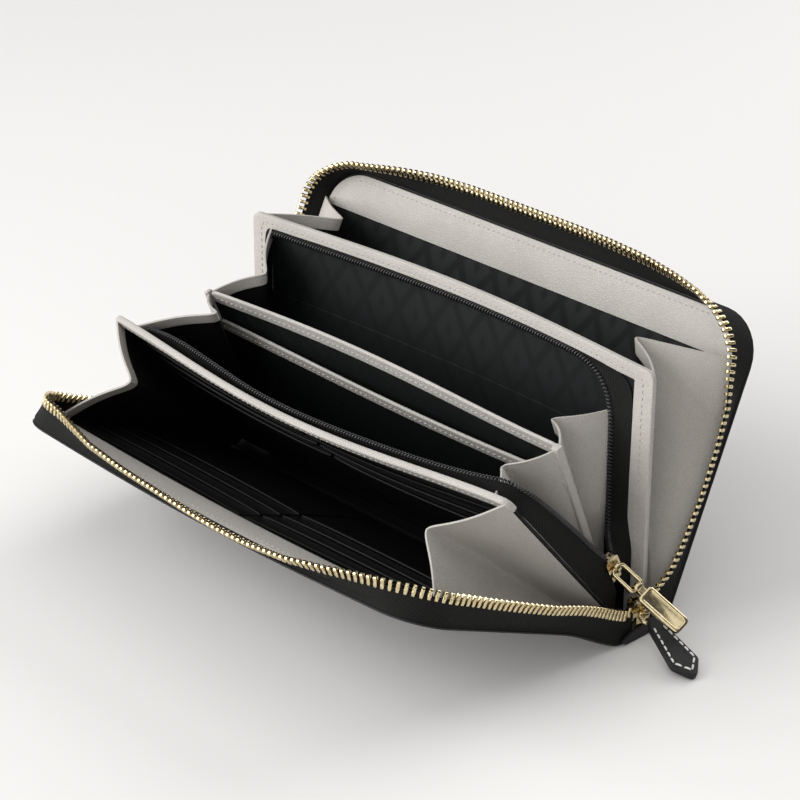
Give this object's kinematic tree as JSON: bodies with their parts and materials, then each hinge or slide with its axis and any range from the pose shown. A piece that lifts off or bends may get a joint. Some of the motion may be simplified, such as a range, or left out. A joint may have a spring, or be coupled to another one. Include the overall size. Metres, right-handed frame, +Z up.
{
  "type": "zip around wallet",
  "caption": "Long zip-around wallet standing open on its spine, with card slots, a zipped middle compartment, folding side gussets and two zip pulls.",
  "frame": {"origin": "middle of the spine's underside, on the surface that the wallet stands on", "axes": "+X along the spine towards the end with the sliders, +Y from the front cover to the back cover, +Z up"},
  "size_m": [0.2252, 0.1652, 0.104],
  "materials": {
    "black_leather": "fine pebbled grain, semi-matte",
    "grey_leather": "smooth warm grey with a fine grain",
    "black_cloth": "woven lining cloth with a tonal check",
    "board": "stiffening board",
    "zip_tape": "herringbone tape",
    "coil": "nylon coil",
    "gold_metal": "polished pale gold plating"
  },
  "bodies": {
    "spine": {"spine_leather": "black_leather", "spine_lining": "black_cloth", "outer_slider": "gold_metal", "outer_zip_stop": "gold_metal"},
    "front_cover": {"front_leather": "black_leather", "front_board": "board", "front_lining": "black_cloth", "front_facing": "grey_leather", "front_card_slot_1": "black_cloth", "front_card_slot_2": "black_cloth", "front_card_slot_3": "black_cloth", "front_card_slot_4": "black_cloth", "front_zip_tape": "zip_tape", "front_zip_teeth": "gold_metal", "gusset_1_left": "grey_leather", "gusset_1_right": "grey_leather"},
    "back_cover": {"back_leather": "black_leather", "back_board": "board", "back_lining": "black_cloth", "back_facing": "grey_leather", "back_zip_tape": "zip_tape", "back_zip_teeth": "gold_metal", "gusset_4_left": "grey_leather", "gusset_4_right": "grey_leather"},
    "divider_1": {"divider_1_panel": "black_cloth", "divider_1_binding": "grey_leather", "divider_1_card_slot_1": "black_cloth", "divider_1_card_slot_2": "black_cloth", "divider_1_card_slot_3": "black_cloth", "divider_1_zip_tape": "zip_tape", "divider_1_zip_coil": "coil", "gusset_2_left": "grey_leather", "gusset_2_right": "grey_leather"},
    "divider_2": {"divider_2_back_panel": "black_cloth", "divider_2_back_binding": "grey_leather", "divider_2_front_panel": "black_cloth", "divider_2_front_binding": "grey_leather", "inner_slider": "gold_metal", "inner_zip_stop": "gold_metal", "gusset_3_left": "grey_leather", "gusset_3_right": "grey_leather"},
    "divider_3": {"divider_3_panel": "black_cloth", "divider_3_frame": "grey_leather", "divider_3_pocket": "black_cloth", "divider_3_zip_tape": "zip_tape", "divider_3_zip_coil": "coil"},
    "pull_tab": {"tab_ring": "gold_metal", "tab_front_leather": "black_leather", "tab_back_leather": "black_leather"},
    "zip_bail": {"inner_bail": "gold_metal"},
    "zip_plate": {"inner_pull_plate": "gold_metal"}
  },
  "joints": [
    {"name": "front_cover_fold", "type": "hinge", "parent": "spine", "child": "front_cover", "pos_m": [0, -0.012, 0.0016], "axis": [1, 0, 0], "range_deg": [-65.3, 6], "deforming": ["front_zip_tape", "front_zip_teeth", "gusset_1_left", "gusset_1_right"]},
    {"name": "divider_1_fold", "type": "hinge", "parent": "spine", "child": "divider_1", "pos_m": [0, -0.0042, 0.0024], "axis": [1, 0, 0], "range_deg": [-40.31, 3.71], "deforming": ["divider_1_zip_tape", "divider_1_zip_coil", "gusset_1_left", "gusset_1_right", "gusset_2_left", "gusset_2_right"]},
    {"name": "divider_2_fold", "type": "hinge", "parent": "spine", "child": "divider_2", "pos_m": [0, 0, 0.0024], "axis": [1, 0, 0], "range_deg": [-20.51, 1.89], "deforming": ["gusset_2_left", "gusset_2_right", "gusset_3_left", "gusset_3_right"]},
    {"name": "divider_3_fold", "type": "hinge", "parent": "spine", "child": "divider_3", "pos_m": [0, 0.0042, 0.0024], "axis": [1, 0, 0], "range_deg": [-0.708, 0.074], "deforming": ["divider_3_zip_tape", "divider_3_zip_coil", "gusset_3_left", "gusset_3_right", "gusset_4_left", "gusset_4_right"]},
    {"name": "back_cover_fold", "type": "hinge", "parent": "spine", "child": "back_cover", "pos_m": [0, 0.012, 0.0016], "axis": [1, 0, 0], "range_deg": [-2.24, 24.31], "deforming": ["back_zip_tape", "back_zip_teeth", "gusset_4_left", "gusset_4_right"]},
    {"name": "tab_swing", "type": "hinge", "parent": "spine", "child": "pull_tab", "pos_m": [0.09997, -0.00247, 0.0105], "axis": [0.2419, 0.9703, 0], "range_deg": [-5, 58]},
    {"name": "bail_swing", "type": "hinge", "parent": "divider_2", "child": "zip_bail", "pos_m": [0.09305, -0.00911, 0.02675], "axis": [0, 0.9135, 0.4067], "range_deg": [-90, 0]},
    {"name": "plate_swing", "type": "hinge", "parent": "zip_bail", "child": "zip_plate", "pos_m": [0.10014, -0.00685, 0.02169], "axis": [0, 0.9135, 0.4067], "range_deg": [-45, 0]}
  ],
  "couplings": [
    {"joint": "divider_1_fold", "follows": "front_cover_fold", "ratio": 0.61718},
    {"joint": "divider_2_fold", "follows": "front_cover_fold", "ratio": 0.31394},
    {"joint": "divider_3_fold", "follows": "front_cover_fold", "ratio": 0.010695},
    {"joint": "back_cover_fold", "follows": "front_cover_fold", "ratio": -0.37213}
  ]
}
